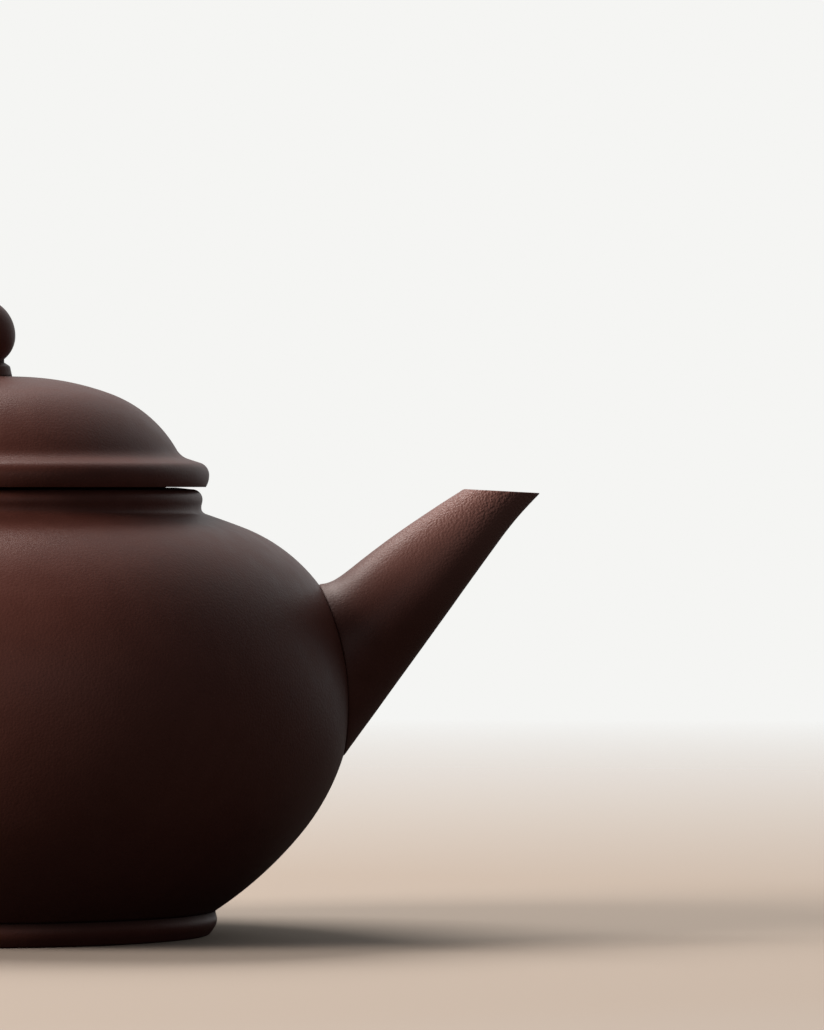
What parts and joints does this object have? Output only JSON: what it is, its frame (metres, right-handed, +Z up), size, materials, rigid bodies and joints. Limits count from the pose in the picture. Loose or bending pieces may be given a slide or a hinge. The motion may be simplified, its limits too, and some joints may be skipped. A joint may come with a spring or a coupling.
{
  "type": "clay teapot",
  "caption": "Small round unglazed clay teapot with domed lift-off lid, bead knob, straight tapered spout, ear handle, inner ball strainer and short foot ring.",
  "frame": {"origin": "centre of the foot ring on the surface the pot stands on", "axes": "+Z up through the knob, +X towards the spout, -X towards the handle"},
  "size_m": [0.1118, 0.0758, 0.0636],
  "materials": {
    "clay": "satin"
  },
  "bodies": {
    "pot": {"body_wall": "clay", "base_disc": "clay", "foot_ring": "clay", "shoulder_disc": "clay", "neck_ring": "clay", "spout": "clay", "strainer": "clay", "handle": "clay"},
    "lid": {"lid_dome": "clay", "lid_rim": "clay", "lid_flange": "clay", "knob_collar": "clay", "knob": "clay"}
  },
  "joints": [
    {"name": "lid_lift", "type": "slide", "parent": "pot", "child": "lid", "axis": [0, 0, 1], "range_m": [0, 0.06]}
  ]
}
